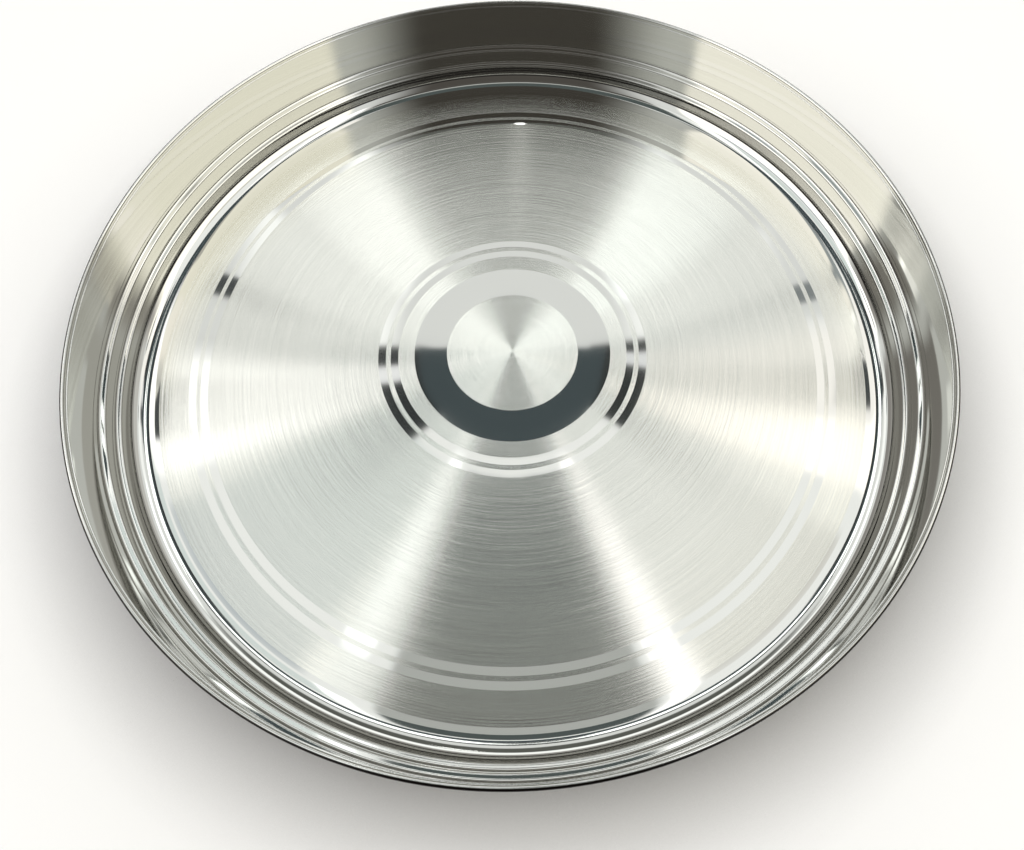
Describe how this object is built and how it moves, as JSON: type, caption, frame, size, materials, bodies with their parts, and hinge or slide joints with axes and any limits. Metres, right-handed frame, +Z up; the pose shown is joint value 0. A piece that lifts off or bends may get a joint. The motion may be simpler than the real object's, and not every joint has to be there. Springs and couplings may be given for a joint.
{
  "type": "thali plate",
  "caption": "Round shallow metal plate for serving a meal, with a flat base of brushed and mirror rings, a stepped upright wall and a rim curled round a wire.",
  "frame": {"origin": "middle of the flat underside, on the surface that the plate stands on", "axes": "+Z up along the plate's axis of revolution; X and Y are equal"},
  "size_m": [0.3, 0.3, 0.0365],
  "materials": {
    "pressed_sheet": "turned brushed zones in the base, mirror polish on the rings, wall and rim",
    "drawn_wire": "drawn, unpolished, hidden inside the curl"
  },
  "bodies": {
    "root": {"pressed_dish": "pressed_sheet", "rim_wire": "drawn_wire"}
  },
  "joints": []
}
